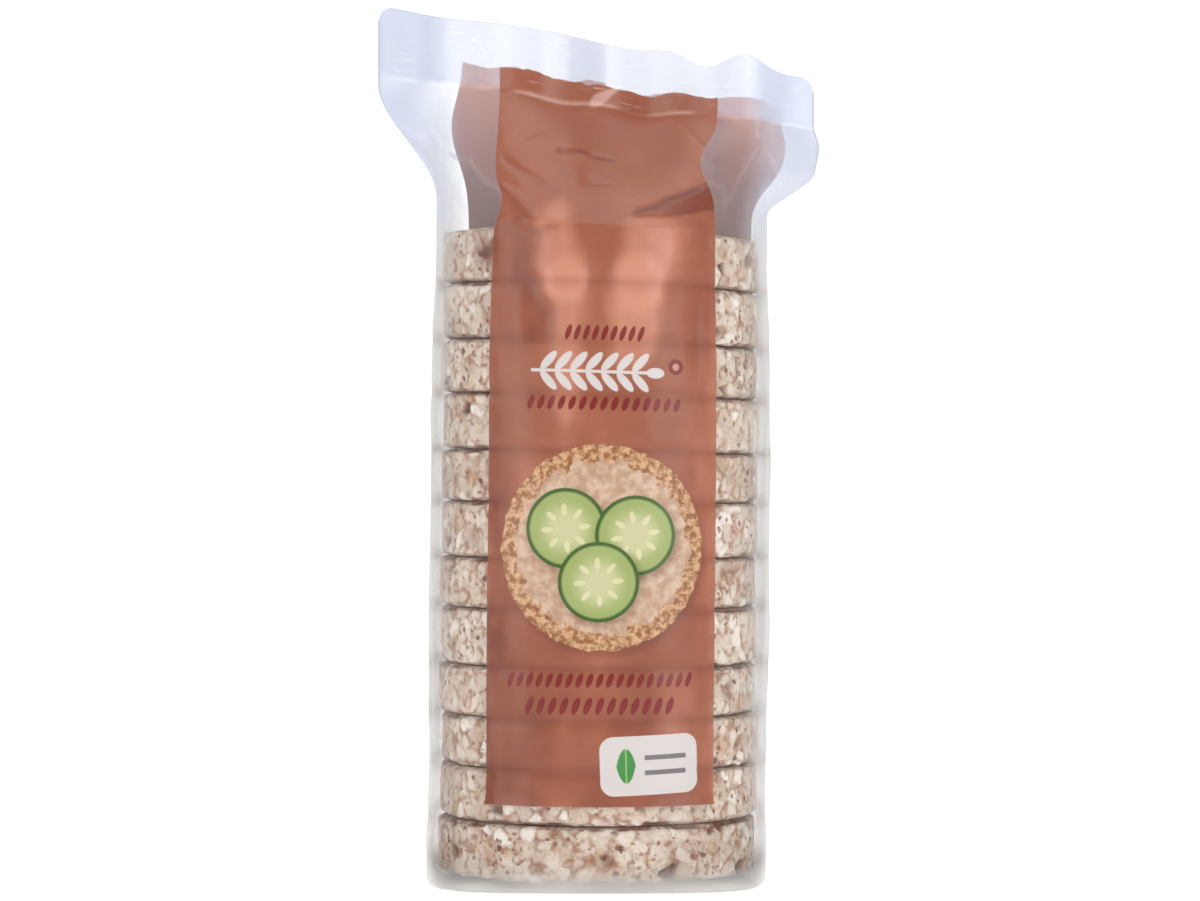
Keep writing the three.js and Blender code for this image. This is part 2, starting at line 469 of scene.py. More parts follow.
def body_ring(angle, z, inset):
    corners = np.where(np.sin(angle) < 0, FRONT_CORNERS, BACK_CORNERS)
    exponent = blend(corners, ROUND, smooth(z, 0, CORNER_HEIGHT))
    half_width = blend(HALF_WIDTH, HALF_WIDTH_AT_TOP, smooth(z, TAPER_FROM, STACK_TOP))
    x = (half_width - inset) * rounded(np.cos(angle), exponent)
    y = (HALF_DEPTH - inset) * rounded(np.sin(angle), exponent)
    return np.stack([x + drift_at(z), y, z + slope_at(z) * x], -1)


def film_columns(angle):
    """How far round the flat film each column lies from the front's middle."""
    ring = body_ring(np.append(angle, angle[0] + 2 * math.pi), STACK_TOP, 0)
    steps = np.hypot(*np.diff(ring[:, :2], axis=0).T)
    along = np.concatenate([[0], np.cumsum(steps)])
    return FILM_ROUND * (along[:-1] / along[-1] - 0.5)


def groove_at(z):
    """How far the film sinks at this height, between two cakes."""
    between = BOUNDARIES[1:-1]
    return GROOVE * sum(hump(z - edge, GROOVE_REACH) for edge in between)


def body_rows():
    """The film from the middle of the base, out under the cakes and up to the top cake's edge."""
    rows = []
    for share in np.linspace(0.02, 1, 14)[:-1]:
        rows.append((-BASE_LENGTH * (1 - share), 0.0, share))
    for turn in np.linspace(0, math.pi / 2, 5):
        z = BASE_ROUNDING * (1 - math.cos(turn))
        rows.append((z, z, 1 + math.sin(turn)))
    count = round((STACK_TOP - BASE_ROUNDING) / FILM_ROW)
    for z in np.linspace(BASE_ROUNDING, STACK_TOP, count)[1:]:
        rows.append((z, z, 2))
    return rows


# The upright creases of loose film: how tall and wide they are, and how far they stand off all round and
# more at the sides
SOFT_CREASES = {"tall": 4.5, "over": 9.0, "round": 0.2, "sides": 0.9}
FINE_CREASES = {"tall": 3.0, "over": 4.2, "round": 0.05, "sides": 0.4}
CREASES_START = (1, 12)


def loose_film(points, angle):
    """The same rings with the soft upright creases of thin film, which only ever stand outwards."""
    soft = 0.5 + 0.5 * waver(stretched(points, SOFT_CREASES["tall"]), SOFT_CREASES["over"], 71)
    fine = np.clip(waver(stretched(points, FINE_CREASES["tall"]), FINE_CREASES["over"], 72), 0, 1)
    sides = np.cos(angle)[None, :] ** 2
    stand_off = (SOFT_CREASES["round"] + SOFT_CREASES["sides"] * sides) * soft
    stand_off = stand_off + (FINE_CREASES["round"] + FINE_CREASES["sides"] * sides) * fine
    raised = smooth(points[:, :, 2], *CREASES_START)
    outward = np.stack([np.cos(angle), np.sin(angle), 0 * angle], -1)
    return points + outward[None] * (stand_off * raised)[:, :, None]


# How far the middle of the base is raised over its rim, with the folded end under it
BASE_HOLLOW = 0.8


def film_body(angle):
    """Points of the film on and round the stack, and how far along the flat film each row lies."""
    rings = []
    lengths = []
    for length, z, stage in body_rows():
        if stage < 1:
            rim = body_ring(angle, 0, BASE_ROUNDING)
            middle = np.array([drift_at(0), 0, 0])
            ring = blend(middle, rim, stage)
            ring[:, 2] = BASE_HOLLOW * (1 - smooth(stage, 0.8, 1))
            rings.append(ring)
        else:
            inset = BASE_ROUNDING * (2 - stage)
            sunk = groove_at(z) * blend(0.35, 1, np.sin(angle) ** 2)
            rings.append(body_ring(angle, z, inset + sunk))
        lengths.append(length)
    return loose_film(np.array(rings), angle), np.array(lengths)


def film_roof(angle, around):
    """The film between the top cake and the seal."""
    rise = (np.arange(ROOF_ROWS) + 1)[:, None] / ROOF_ROWS
    start = loose_film(body_ring(angle, STACK_TOP, 0)[None], angle)[0]
    seal_x = seal_x_at(around)[None, :]
    side = np.sign(np.sin(angle))[None, :]
    seal_y = seal_depth_at(seal_x) + side * SEAL_HALF_THICKNESS
    left_share = smooth(-seal_x, -SEAL_RIGHT, SEAL_LEFT)
    flare = smooth(rise, EAR_FROM, blend(RIGHT_EAR_TO, LEFT_EAR_TO, left_share))
    on_the_right = np.clip(seal_x / SEAL_RIGHT, 0, 1) ** 2
    ear = RIGHT_EAR["bulge"] * hump(rise - RIGHT_EAR["at"], RIGHT_EAR["reach"])
    ear = ear * (1 - rise ** RIGHT_EAR["fade"])
    x = blend(start[None, :, 0], seal_x, flare) + ear * on_the_right
    front = np.clip(-np.sin(angle), 0, 1)[None, :]
    pleat = PLEAT["depth"] * front * hump(x - PLEAT["at"], PLEAT["half_width"]) * 4 * rise * (1 - rise)
    y = blend(start[None, :, 1], seal_y, rise**ROOF_SWELL) + pleat
    z = blend(start[None, :, 2], seal_low_at(seal_x), rise)
    return np.stack([x, y, z], -1), STACK_TOP + ROOF_LENGTH * rise[:, 0]


SEAL_RIDGE = {"height": 0.05, "pitch": 1.7}


def film_seal(angle, around):
    """Both layers pressed together, with the fine ridges of the sealing jaws."""
    rise = (np.arange(SEAL_ROWS) + 1)[:, None] / SEAL_ROWS
    x = seal_x_at(around)[None, :] + 0 * rise
    side = np.sign(np.sin(angle))[None, :]
    uneven = 0.5 + 0.5 * waver(np.stack([x, 0 * x, 40 * rise + 0 * x], -1), 7.0, 75)
    ridge = SEAL_RIDGE["height"] * uneven * np.sin(2 * math.pi * rise * SEAL_HEIGHT / SEAL_RIDGE["pitch"])
    y = seal_depth_at(x) + ridge + side * SEAL_HALF_THICKNESS
    z = blend(seal_low_at(x), seal_top_at(x), rise)
    return np.stack([x, y, z], -1), STACK_TOP + ROOF_LENGTH + SEAL_HEIGHT * rise[:, 0]


# Soft strokes that shape the film at the closed end, seen from the front: from a point to another, each
# as x and z, how wide they are at each end, how soft their edges are, how far they push the film out, and
# how they change its tone and its glint. The tone is painted highlight on the bulging lobes, painted shade
# in the valleys and under the folds, and darker double ink where film overlaps; the glint is painted
# highlight.
Stroke = collections.namedtuple("Stroke", "start end wide soft push tone glint", defaults=(0, 0))
FRONT_STROKES = (
    Stroke((-13, 195), (-12, 178), (5.0, 5.6), 7.0, 0.8, tone=0.42),
    Stroke((-9.5, 178), (-9.3, 138), (4.6, 2.2), 5.0, 0.5, tone=0.28),
    Stroke((15, 188), (13, 176), (8.0, 8.0), 7.5, 0.8, tone=0.27),
    Stroke((11, 176), (10, 158), (8.5, 6.0), 6.0, 0.5, tone=0.3),
    Stroke((-0.5, 204), (0, 166), (3.4, 2.2), 6.0, -1.0, tone=-0.06),
    Stroke((-25, 192), (-17.5, 164), (2.5, 4.0), 6.0, -0.5, tone=-0.25),
    Stroke((-21, 193), (-12, 192), (1.1, 1.1), 2.0, -0.5, tone=-0.28),
    Stroke((11, 196.4), (32, 202), (1.2, 4.4), 1.6, 0.9, tone=-0.34),
    Stroke((7, 195), (29, 204.5), (0.3, 0.4), 1.2, -0.6, tone=-0.15),
    Stroke((-11.5, 216), (3, 214.4), (0.6, 0.7), 1.5, -0.8, tone=-0.3),
    Stroke((30, 192), (28.5, 156), (1.6, 2.6), 6.0, -0.3, tone=-0.15),
    Stroke((-29, 205), (-22, 197), (1.0, 2.6), 3.0, 0.9, tone=-0.16),
    Stroke((-28, 214), (-14, 203), (0.7, 1.4), 2.4, -0.8, tone=-0.1),
    Stroke((24, 226), (33, 214), (0.6, 1.0), 2.2, 0.8, tone=0.1),
    Stroke((-21, 219), (-15.5, 221.5), (0.4, 0.4), 1.3, -0.4, tone=-0.14),
    Stroke((-2, 233), (7.5, 238.2), (1.9, 0.3), 0.9, 0.3, glint=0.62),
    Stroke((-52, 224), (-40, 206), (0.4, 0.9), 1.6, 0.9, glint=0.18),
    Stroke((45, 226), (54, 208), (0.4, 0.7), 1.4, 0.7, glint=0.16),
)
BACK_STROKES = (
    Stroke((-46, 218.6), (-39.5, 216.4), (0.5, 0.6), 1.0, 0.8, glint=0.75),
    Stroke((-39.5, 216.4), (-35.5, 211), (0.6, 0.6), 1.0, 0.8, glint=0.75),
    Stroke((-35.5, 211), (-29, 206.5), (0.6, 0.5), 1.0, 0.8, glint=0.7),
    Stroke((-39, 208), (-34, 200), (5.0, 6.5), 3.6, 1.2, tone=-0.2),
    Stroke((48, 219.5), (39.5, 204.5), (0.4, 0.5), 1.0, 0.8, glint=0.7),
    Stroke((48.2, 233), (47, 223), (0.6, 0.4), 1.0, 0.7, glint=0.6),
    Stroke((52, 233), (52.5, 221), (1.0, 0.8), 1.2, 0.7, glint=0.5),
    Stroke((52.5, 221), (47.4, 223), (0.4, 0.4), 1.0, 0.4, glint=0.5),
    Stroke((49, 212), (43, 202), (3.2, 4.0), 3.0, 1.0, tone=-0.2),
    Stroke((-10, 205), (-14, 176), (5.5, 4.0), 4.0, 1.4, tone=0.3),
    Stroke((14, 203), (18, 172), (6.5, 4.5), 4.0, 1.4, tone=0.3),
    Stroke((2, 206), (3, 168), (3.4, 2.6), 3.5, -1.2, tone=-0.12),
    Stroke((-20, 226), (-6, 208), (0.7, 1.2), 2.4, -0.8, tone=-0.14),
    Stroke((12, 212), (24, 215), (0.6, 0.7), 1.6, -0.8, tone=-0.25),
)

# Where the print is drawn in by a fold: the place round the film, its height, how far the print moves and
# how far round and along the film this reaches
PULLS = (
    {"around": 34, "z": 213.5, "shift": 6.6, "reach": (15, 8.5)},
    {"around": -34, "z": 201.0, "shift": -3.4, "reach": (12, 6.0)},
    {"around": -105, "z": 224.0, "shift": -5.5, "reach": (14, 12.0)},
    {"around": 97, "z": 236.0, "shift": 7.6, "reach": (16, 16.0)},
    {"around": 97, "z": 216.0, "shift": 6.0, "reach": (16, 9.0)},
)


FILM_CLEARANCE = 0.25
STROKE_WANDER = 1.3
HOLLOW_FADE = {"height": 13, "depth": 5}


def within_stroke(x, z, line):
    """1 within a soft tapering stroke and 0 outside it."""
    place = np.stack([x, z, np.full(x.shape, line.soft)], -1)
    x = x + STROKE_WANDER * waver(place, 6.5, 85)
    z = z + STROKE_WANDER * waver(place, 6.5, 86)
    x0, z0 = line.start
    run_x, run_z = line.end[0] - x0, line.end[1] - z0
    share = np.clip(((x - x0) * run_x + (z - z0) * run_z) / (run_x**2 + run_z**2), 0, 1)
    away = np.hypot(x - x0 - share * run_x, z - z0 - share * run_z)
    half = blend(*line.wide, share)
    return 1 - smooth(away - half, -line.soft / 2, line.soft / 2)


def stroked(points, around, change):
    """The sum of a change that the strokes make, at each point of the film."""
    x, z = points[:, :, 0], points[:, :, 2]
    at_front = np.broadcast_to(np.abs(around)[None, :] < FILM_SIDE, x.shape)
    total = np.zeros(x.shape)
    for lines, side in ((FRONT_STROKES, at_front), (BACK_STROKES, ~at_front)):
        for line in lines:
            amount = getattr(line, change)
            if amount:
                total += amount * within_stroke(x, z, line) * side
    return total


def pushed(points, around):
    """The film with its strokes pushed out to the front or back."""
    push = stroked(points, around, "push")
    x, y, z = np.moveaxis(points, -1, 0)
    side = np.where(np.abs(around)[None, :] < FILM_SIDE, -1, 1)
    moved = np.abs(y) + push * (side * y > 0)
    off_axis = x - drift_at(z)
    room = np.sqrt(np.clip((CAKE_RADIUS + FILM_CLEARANCE) ** 2 - off_axis**2, 0, None))
    above = z - STACK_TOP - slope_at(z) * off_axis
    room = room - HOLLOW_FADE["depth"] * smooth(above, -1, HOLLOW_FADE["height"])
    beside = (z > BASE_ROUNDING) & (above < HOLLOW_FADE["height"]) & (np.abs(y) > HOLLOW_FADE["depth"])
    outward = np.maximum(moved, np.minimum(room, np.abs(y)))
    moved = np.where(beside, outward, moved)
    return np.stack([x, np.sign(y) * moved, z], -1)


def print_shift(points, around):
    """How far round the flat film the print lies from where smooth film would have it."""
    z = points[:, :, 2]
    total = np.zeros(z.shape)
    for pull in PULLS:
        reach_round, reach_up = pull["reach"]
        near = hump(around - pull["around"], reach_round)[None, :]
        total += pull["shift"] * near * hump(z - pull["z"], reach_up)
    return total


# The film settles at this scale, in which cloth behaves well, from its flat lengths
SETTLE_SCALE = 0.01
SETTLE_FRAMES = 36
SETTLE_STEP = 2
SETTLE_MARGIN = 0.004
LOOSE_BODY_ROWS = 4
HELD_ROWS = {"low": 2, "high": 1}
SLACK_LENGTH = 62.5
SIDE_HOLD = {"strength": 0.35, "reach": 5.0}
CLOTH = {
    "vertex_group_mass": "held",
    "pin_stiffness": 1.0,
    "quality": 6,
    "mass": 0.15,
    "tension_stiffness": 25,
    "compression_stiffness": 25,
    "shear_stiffness": 12,
    "bending_stiffness": 3.0,
    "air_damping": 2.0,
    "use_pressure": True,
    "uniform_pressure_force": 0.25,
}


# The stopper's rings: how far each is inside a cake's edge, and how far below the stack's top
STOPPER_COLUMNS = 96
STOPPER_RINGS = ((46.7, 0.4), (16.9, 0.4), (1.2, 0.4), (0.4, 1.2), (0, 2.4), (0, 14.4))


def stack_stopper():
    """A plain tilted disc in the top cake's place, for the settling film to rest on."""
    turns = 2 * math.pi * np.arange(STOPPER_COLUMNS) / STOPPER_COLUMNS
    rings = []
    for inside, below in STOPPER_RINGS:
        radius = CAKE_RADIUS - inside
        x = radius * np.cos(turns)
        z = STACK_TOP - below + slope_at(STACK_TOP) * x
        rings.append(np.stack([x + drift_at(STACK_TOP), radius * np.sin(turns), z], -1))
    faces, _ = wrapped_faces(len(rings), len(turns))
    return np.concatenate(rings), faces[:, ::-1]


def loose_mesh(name, points, faces):
    mesh = bpy.data.meshes.new(name)
    mesh.from_pydata((points * SETTLE_SCALE).tolist(), [], np.asarray(faces).tolist())
    piece = bpy.data.objects.new(name, mesh)
    bpy.context.scene.collection.objects.link(piece)
    return piece


def flat_tube(around, heights):
    """The film as it was before it was closed: a straight tube, each row at its height."""
    radius = FILM_ROUND / (2 * math.pi)
    turn = -math.pi / 2 + around / radius
    ring = np.stack([radius * np.cos(turn), radius * np.sin(turn), 0 * turn], -1)
    return ring[None] + np.array([0, 0, 1]) * heights[:, None, None]


def settling_film(rows, lengths, around):
    """The film as it is to be closed, and its rest shape: the flat tube with some slack above the stack."""
    count, columns = rows.shape[:2]
    faces, _ = wrapped_faces(count, columns)
    film = loose_mesh("settling_film", rows.reshape(-1, 3), faces)
    above = lengths - STACK_TOP
    heights = np.where(above > 0, above * SLACK_LENGTH / ROOF_LENGTH, above)
    film.shape_key_add(name="closed")
    flat = film.shape_key_add(name="flat")
    flat.data.foreach_set("co", (flat_tube(around, heights) * SETTLE_SCALE).ravel())
    held = film.vertex_groups.new(name=CLOTH["vertex_group_mass"])
    side = SIDE_HOLD["strength"] * hump(np.abs(around) - FILM_SIDE, SIDE_HOLD["reach"])
    weights = np.repeat(side[None, :], count, axis=0)
    weights[:HELD_ROWS["low"]] = 1
    weights[-HELD_ROWS["high"]:] = 1
    for index, weight in enumerate(weights.ravel()):
        held.add([index], float(weight), "REPLACE")
    return film, flat


def make_cloth(film, flat):
    cloth = film.modifiers.new("settle", "CLOTH")
    cloth.settings.rest_shape_key = flat
    for name, value in CLOTH.items():
        setattr(cloth.settings, name, value)
    cloth.settings.effector_weights.gravity = 0
    cloth.collision_settings.distance_min = SETTLE_MARGIN
    cloth.collision_settings.use_self_collision = False
    cloth.point_cache.frame_start = 1
    cloth.point_cache.frame_end = SETTLE_FRAMES


def settle(rows, lengths, around):
    """Lets rows of film find their own folds between the lowest and the highest, and returns them."""
    film, flat = settling_film(rows, lengths, around)
    stopper = loose_mesh("stopper", *stack_stopper())
    stopper.modifiers.new("stop", "COLLISION")
    stopper.collision.thickness_outer = SETTLE_MARGIN
    make_cloth(film, flat)
    scene = bpy.context.scene
    for step in range(1, SETTLE_FRAMES + 1):
        scene.frame_set(step)
    settled = film.evaluated_get(bpy.context.evaluated_depsgraph_get()).to_mesh()
    found = np.empty(len(settled.vertices) * 3)
    settled.vertices.foreach_get("co", found)
    scene.frame_set(1)
    bpy.data.objects.remove(film)
    bpy.data.objects.remove(stopper)
    return found.reshape(rows.shape) / SETTLE_SCALE


def refined(shift, rows, columns):
    """A coarse grid's shift on the fine grid that it was thinned from, whose columns close on themselves."""
    closed = np.concatenate([shift, shift[:, :1]], axis=1)
    at = np.arange(columns) / SETTLE_STEP
    left = at.astype(int)
    part = (at - left)[None, :, None]
    wide = closed[:, left] * (1 - part) + closed[:, left + 1] * part
    at = np.arange(rows) / SETTLE_STEP
    low = np.minimum(at.astype(int), len(shift) - 2)
    part = (at - low)[:, None, None]
    tall = wide[low] * (1 - part) + wide[low + 1] * part
    return (np.roll(tall, 1, axis=1) + 2 * tall + np.roll(tall, -1, axis=1)) / 4


def settled_rows(rows, lengths, around):
    """The film at the closed end, settled on every second row and column of its grid."""
    coarse = rows[::SETTLE_STEP, ::SETTLE_STEP]
    shift = settle(coarse, lengths[::SETTLE_STEP], around[::SETTLE_STEP]) - coarse
    return rows + refined(shift, *rows.shape[:2])


def film_grid():
    """Every point of the film as rows of columns, with each row's and column's place on the flat film."""
    angle = film_angles()
    around = film_columns(angle)
    body, body_lengths = film_body(angle)
    roof, roof_lengths = film_roof(angle, around)
    seal, seal_lengths = film_seal(angle, around)
    rows = np.concatenate([body[-LOOSE_BODY_ROWS:], roof])
    rows_lengths = np.concatenate([body_lengths[-LOOSE_BODY_ROWS:], roof_lengths])
    rows = settled_rows(rows, rows_lengths, around)
    body = np.concatenate([body[:-LOOSE_BODY_ROWS], rows[:LOOSE_BODY_ROWS]])
    roof = rows[LOOSE_BODY_ROWS:]
    points = pushed(np.concatenate([body, roof, seal]), around)
    lengths = np.concatenate([body_lengths, roof_lengths, seal_lengths])
    return points, lengths, around


# How hazy the film is against the cakes, and what its other parts add, with more haze over the gaps at the
# sides to carry their painted shade: how far from the film's sides each reaches, from full to none, and how
# far above the stack it comes in
HAZE = {"clear": 0.05, "sides": 0.36, "base": 0.5, "seal": 0.32, "gap_shade": 0.34, "uneven": 0.25}
SIDE_HAZE = {"near": (10, 31), "thins": (-8, 6), "to": 0.6}
BASE_HAZE_ENDS = (1, 9)
SEAL_HAZE_STARTS = (ROOF_LENGTH - 1, ROOF_LENGTH + 2)
UPPER_HAZE = (
    {"adds": 0.2, "near": (12, 34), "above": (-12, 4)},
    {"adds": 0.13, "near": (10, 40), "above": (15, 40)},
)

# How light the print is, much of it painted light and shade: lighter against the cakes than off them, its
# left painted in shade and its right in light, darker low down, its back painted lighter against the shade
# inside the bag, and its random noise, each with where it comes in
TONE = {"on_cakes": 0.46, "roof": 0.44, "left": -0.16, "right": 0.06, "low": -0.14, "noise": 0.18,
        "behind": 0.14, "behind_roof": 0.4}
TONE_FROM = {"left": (8, 32), "right": (4, 24), "low": (60, 120), "roof": (STACK_TOP - 4, STACK_TOP + 8),
             "behind_roof": (STACK_TOP - 12, STACK_TOP + 20)}
CREASE_GLINT = {"strength": 0.55, "reach": 0.75}


def film_haze(points, lengths, around):
    """How milky the film is at each point."""
    level = lengths[:, None] + 0 * around[None, :]
    above = level - STACK_TOP
    from_side = np.abs(np.abs(around) - FILM_SIDE)[None, :]
    sides = 1 - smooth(from_side, *SIDE_HAZE["near"])
    sides = sides * blend(1, SIDE_HAZE["to"], smooth(above, *SIDE_HAZE["thins"]))
    # more haze over the gaps at the sides, to carry their painted shade
    haze = HAZE["clear"] + HAZE["sides"] * sides + HAZE["gap_shade"] * sides * groove_at(level) / GROOVE
    for part in UPPER_HAZE:
        haze = haze + part["adds"] * (1 - smooth(from_side, *part["near"])) * smooth(above, *part["above"])
    haze = haze + HAZE["base"] * (1 - smooth(level, *BASE_HAZE_ENDS))
    haze = haze + HAZE["seal"] * smooth(above, *SEAL_HAZE_STARTS)
    return haze * (1 + HAZE["uneven"] * waver(stretched(points, 2.5), 9.0, 81))


def film_tone(points, lengths, around):
    """How light the print is at each point, much of it painted light and shade: lighter where cakes back it,
    darker where it stands off, shaded on the left and lit on the right, lighter on the back, darker low
    down, with random noise and the strokes' painted highlights and shade.
    """
    level = lengths[:, None] + 0 * around[None, :]
    x = points[:, :, 0]
    on_cakes = 1 - smooth(level, *TONE_FROM["roof"])
    base = blend(TONE["roof"], TONE["on_cakes"], on_cakes)
    # painted shade on the left and painted light on the right
    sides = TONE["left"] * smooth(-x, *TONE_FROM["left"]) + TONE["right"] * smooth(x, *TONE_FROM["right"])
    low = TONE["low"] * (1 - smooth(level, *TONE_FROM["low"]))
    broad = waver(stretched(points, 2.2), 11.0, 91)
    narrow = 0.6 * waver(stretched(points, 1.6), 5.0, 92)
    soft = TONE["noise"] * (broad + narrow) * blend(0.35, 1, on_cakes)
    # the back print is painted lighter against the shade inside the bag
    behind = TONE["behind"] + TONE["behind_roof"] * smooth(level, *TONE_FROM["behind_roof"])
    behind = behind * (np.abs(around) > FILM_SIDE)[None, :]
    return base + (sides + low) * on_cakes + behind + soft + stroked(points, around, "tone")


def film_glint(points, lengths, around):
    """Fine pale lines where the film is creased sharply."""
    foot = hump(lengths - STACK_TOP - ROOF_LENGTH, CREASE_GLINT["reach"])[:, None]
    broken = smooth(waver(points, 6.0, 95), -0.5, 0.4)
    return stroked(points, around, "glint") + CREASE_GLINT["strength"] * foot * broken


def flat_map(around, along):
    """Where these places round and along the flat film lie on its map."""
    around, along = np.broadcast_arrays(around, along)
    return np.stack([0.5 + around / FILM_ROUND, (along + BASE_LENGTH) / FILM_LENGTH], -1).reshape(-1, 2)


def seal_edge(first):
    """Faces that close the film along the seal's top edge, from the right end to the left, over the columns
    that start at this point."""
    half, end = FILM_COLUMNS // 2, FILM_COLUMNS // 4
    edge = []
    for step in range(half):
        front = [end + step, end + step + 1]
        behind = [(end - step - 1) % FILM_COLUMNS, (end - step) % FILM_COLUMNS]
        if step == 0:
            behind = behind[:1]
        if step == half - 1:
            behind = behind[1:]
        edge.append([first + column for column in front + behind])
    return edge


def film_bag(points, lengths, around, material):
    faces, corners = wrapped_faces(len(points), FILM_COLUMNS)
    shift = print_shift(points, around)
    shift = np.concatenate([shift, shift[:, :1]], axis=1)
    flat = flat_map(np.append(around, around[0] + FILM_ROUND)[None, :] + shift, lengths[:, None])
    base = np.arange(FILM_COLUMNS)[::-1]
    top = (len(points) - 1) * FILM_COLUMNS
    edge = seal_edge(top)
    uv = [flat[corners].reshape(-1, 2), np.stack([np.linspace(1, 0, FILM_COLUMNS), 0 * base], -1)]
    uv += [np.array([[0.5 + around[index - top] / FILM_ROUND, 1.0] for index in face]) for face in edge]
    attributes = {
        "gap": np.repeat(groove_at(lengths) / GROOVE, FILM_COLUMNS),
        "haze": np.clip(film_haze(points, lengths, around), 0, 1).ravel(),
        "tone": np.clip(film_tone(points, lengths, around), 0, 1).ravel(),
        "glint": np.clip(film_glint(points, lengths, around), 0, 1).ravel(),
    }
    faces = faces.tolist() + [base.tolist()] + edge
    return add_mesh("film_bag", points.reshape(-1, 3), faces, material, np.concatenate(uv), attributes,
                    len(edge) + 1)


# The long seam down the back, laid flat to one side, and the lower end that is folded under the base
SEAM = {"wide": 12, "off": 0.3, "ruffle": 0.5, "haze": 0.3}
FOLD = {"half_long": 43, "half_wide": 9, "above": 0.12, "ridge": 0.04, "haze": 0.4, "tone": 0.4}
FOLD_STEPS = {"long": 120, "wide": 36}
FOLD_ON_FILM = {"around": 66, "spread": 0.6, "along": STACK_TOP + ROOF_LENGTH + 10}


def open_faces(rows, columns):
    """Quads over a grid that doesn't close on itself."""
    row, column = np.meshgrid(np.arange(rows - 1), np.arange(columns - 1), indexing="ij")
    start = (row * columns + column).ravel()
    return np.stack([start, start + 1, start + columns + 1, start + columns], -1)


def back_seam(points, lengths, around, material):
    """The long edges of the film, sealed together into a strip that lies on the back."""
    rows = lengths > BASE_ROUNDING
    columns = around < around[0] + SEAM["wide"]
    strip = points[rows][:, columns]
    across = np.gradient(strip, axis=1)
    along = np.gradient(strip, axis=0)
    outward = np.cross(across, along)
    outward = outward / np.linalg.norm(outward, axis=-1, keepdims=True)
    share = np.broadcast_to((around[columns] - around[0]) / SEAM["wide"], strip.shape[:2])
    ruffle = SEAM["ruffle"] * share**2 * np.clip(waver(strip, 16.0, 101), 0, 1)
    lifted = strip + outward * (SEAM["off"] * smooth(share, 0, 0.12) + ruffle)[:, :, None]
    faces = open_faces(*share.shape)
    uv = flat_map(around[columns][None, :], lengths[rows][:, None])[faces]
    attributes = {
        "gap": np.zeros(share.size),
        "haze": np.full(share.size, SEAM["haze"]),
        "tone": film_tone(points, lengths, around)[rows][:, columns].ravel(),
        "glint": (0.5 * hump(share - 1, 0.06) + 0.3 * hump(share, 0.06)).ravel(),
    }
    return add_mesh("back_seam", lifted.reshape(-1, 3), faces.tolist(), material, uv, attributes)


def folded_end(material):
    """The sealed lower end of the film, flat under the base."""
    long_share, wide_share = np.meshgrid(
        np.linspace(-1, 1, FOLD_STEPS["long"]), np.linspace(-1, 1, FOLD_STEPS["wide"]))
    x = FOLD["half_long"] * long_share
    y = FOLD["half_wide"] * wide_share
    place = np.stack([x, y, 0 * x], -1)
    ridge = FOLD["ridge"] * np.sin(2 * math.pi * y / SEAL_RIDGE["pitch"])
    z = FOLD["above"] + ridge + 0.06 * waver(place, 11.0, 103)
    wavy_y = y + 0.8 * waver(place / np.array([1, 40, 1]), 17.0, 104)
    points = np.stack([x + drift_at(0), wavy_y, z], -1).reshape(-1, 3)
    faces = open_faces(*x.shape)[:, ::-1]
    around = FOLD_ON_FILM["around"] + FOLD_ON_FILM["spread"] * x
    uv = flat_map(around, FOLD_ON_FILM["along"] + 0.9 * y)[faces]
    edge = np.maximum(hump(np.abs(long_share) - 1, 0.02), hump(np.abs(wide_share) - 1, 0.08))
    attributes = {
        "gap": np.zeros(x.size),
        "haze": np.full(x.size, FOLD["haze"]),
        "tone": np.full(x.size, FOLD["tone"]),
        "glint": (0.5 * edge).ravel(),
    }
    return add_mesh("folded_end", points, faces.tolist(), material, uv, attributes)


# Materials

class Link:
    """One output socket. Arithmetic on it adds Math nodes to its finish."""

    def __init__(self, finish, socket):
        self.finish = finish
        self.socket = socket

    def maths(self, operation, *others):
        return self.finish.add("Math", {"operation": operation}, dict(enumerate((self, *others))))

    def __add__(self, other):
        return self.maths("ADD", other)

    def __sub__(self, other):
        return self.maths("SUBTRACT", other)

    def __rsub__(self, other):
        return self * -1 + other

    def __mul__(self, other):
        return self.maths("MULTIPLY", other)

    def __truediv__(self, other):
        return self.maths("DIVIDE", other)

    def __pow__(self, other):
        return self.maths("POWER", other)

    def __mod__(self, other):
        return self.maths("FLOORED_MODULO", other)

    def __abs__(self):
        return self.maths("ABSOLUTE")

    __radd__ = __add__
    __rmul__ = __mul__

    def smaller(self, other):
        return self.maths("MINIMUM", other)

    def larger(self, other):
        return self.maths("MAXIMUM", other)

    def clamped(self):
        return self.smaller(1.0).larger(0.0)

    def between(self, low, high):
        """0 at low, 1 at high, and smooth between."""
        settings = {"interpolation_type": "SMOOTHSTEP"}
        return self.finish.add("MapRange", settings, {"Value": self, "From Min": low, "From Max": high})

    def below(self, edge, softness):
        """1 well below edge and 0 well above it."""
        return ((edge - self) / softness + 0.5).clamped()


